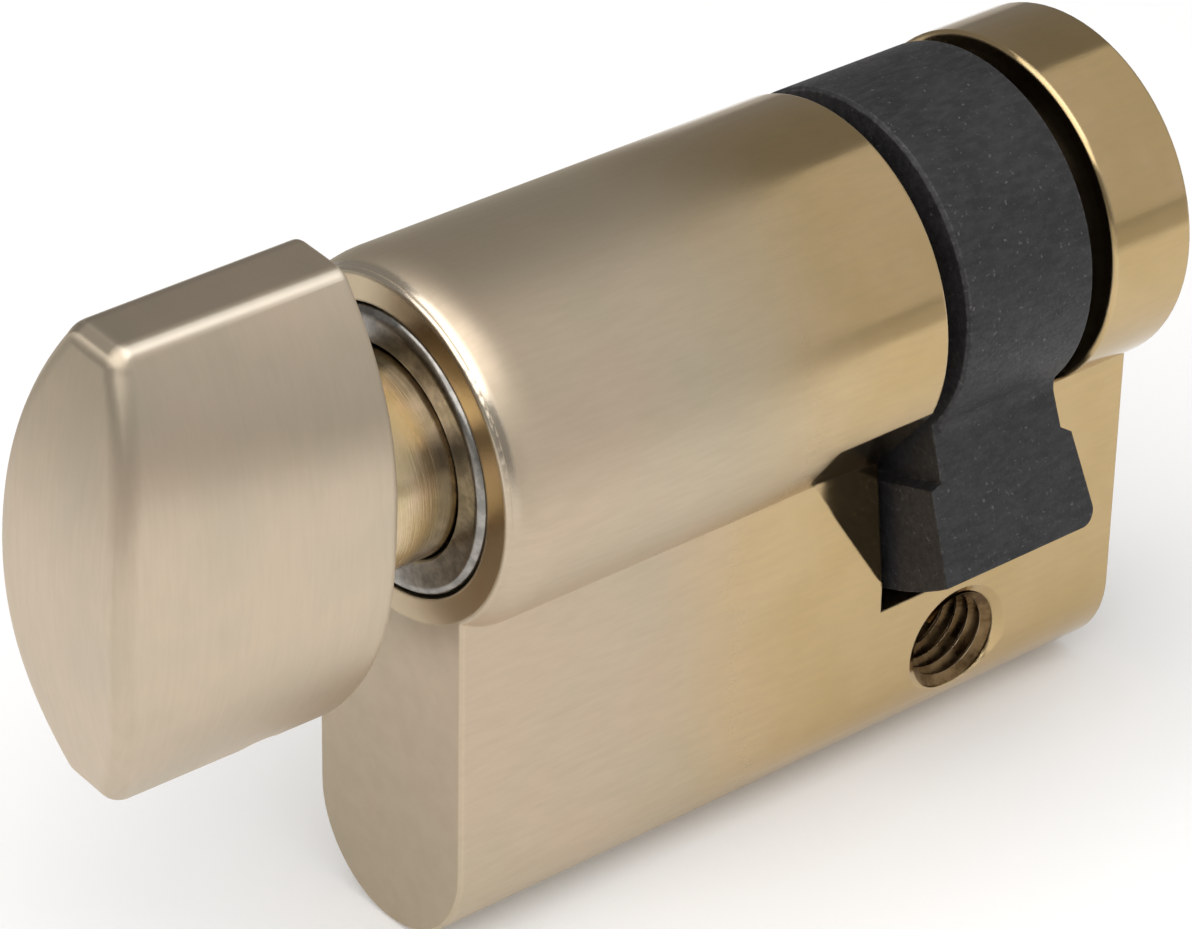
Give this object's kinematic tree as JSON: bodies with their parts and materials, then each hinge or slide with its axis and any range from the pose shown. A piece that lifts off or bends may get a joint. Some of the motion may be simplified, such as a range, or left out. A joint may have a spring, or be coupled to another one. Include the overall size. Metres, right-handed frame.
{
  "type": "euro profile half cylinder with thumbturn",
  "caption": "Brass euro profile half cylinder: thumbturn on the long end, black cam in the slot, threaded fixing hole in the web.",
  "frame": {"origin": "middle of the M5 fixing hole, on the mid-plane of the web and of the cam slot", "axes": "+Y along the barrel from the thumbturn to the closed end, +Z from the web up to the barrel, +X across the web along the fixing hole"},
  "size_m": [0.0171, 0.0561, 0.0355],
  "materials": {
    "housing": "satin brushed, polished beside the cam",
    "front_ring": "turned steel",
    "knob": "satin brushed",
    "grub_screw": "black oxide",
    "spindle": "turned, bright",
    "friction_ring": "greased rubber",
    "spindle_clip": "spring steel",
    "coupling_dog": "hardened steel",
    "cam": "black sintered steel",
    "end_stub": "turned",
    "stub_clip": "spring steel",
    "detent_ball": "polished steel ball",
    "detent_spring": "spring wire",
    "detent_plug": "pressed in, faced off"
  },
  "bodies": {
    "housing": {"housing": "housing", "front_ring": "front_ring", "end_stub": "end_stub", "stub_clip": "stub_clip", "detent_spring": "detent_spring", "detent_plug": "detent_plug"},
    "thumbturn": {"knob": "knob", "grub_screw": "grub_screw", "spindle": "spindle", "friction_ring": "friction_ring", "spindle_clip": "spindle_clip", "coupling_dog": "coupling_dog"},
    "cam": {"cam": "cam"},
    "detent": {"detent_ball": "detent_ball"}
  },
  "joints": [
    {"name": "thumbturn_turn", "type": "hinge", "parent": "housing", "child": "thumbturn", "pos_m": [0, 0, 0.019], "axis": [0, 1, 0], "continuous": true},
    {"name": "cam_turn", "type": "hinge", "parent": "housing", "child": "cam", "pos_m": [0, 0, 0.019], "axis": [0, 1, 0], "continuous": true},
    {"name": "detent_rise", "type": "slide", "parent": "housing", "child": "detent", "axis": [0, 0, 1], "range_m": [0, 0.00035], "deforming": ["detent_spring"]}
  ],
  "couplings": [
    {"joint": "cam_turn", "follows": "thumbturn_turn", "ratio": 1}
  ]
}
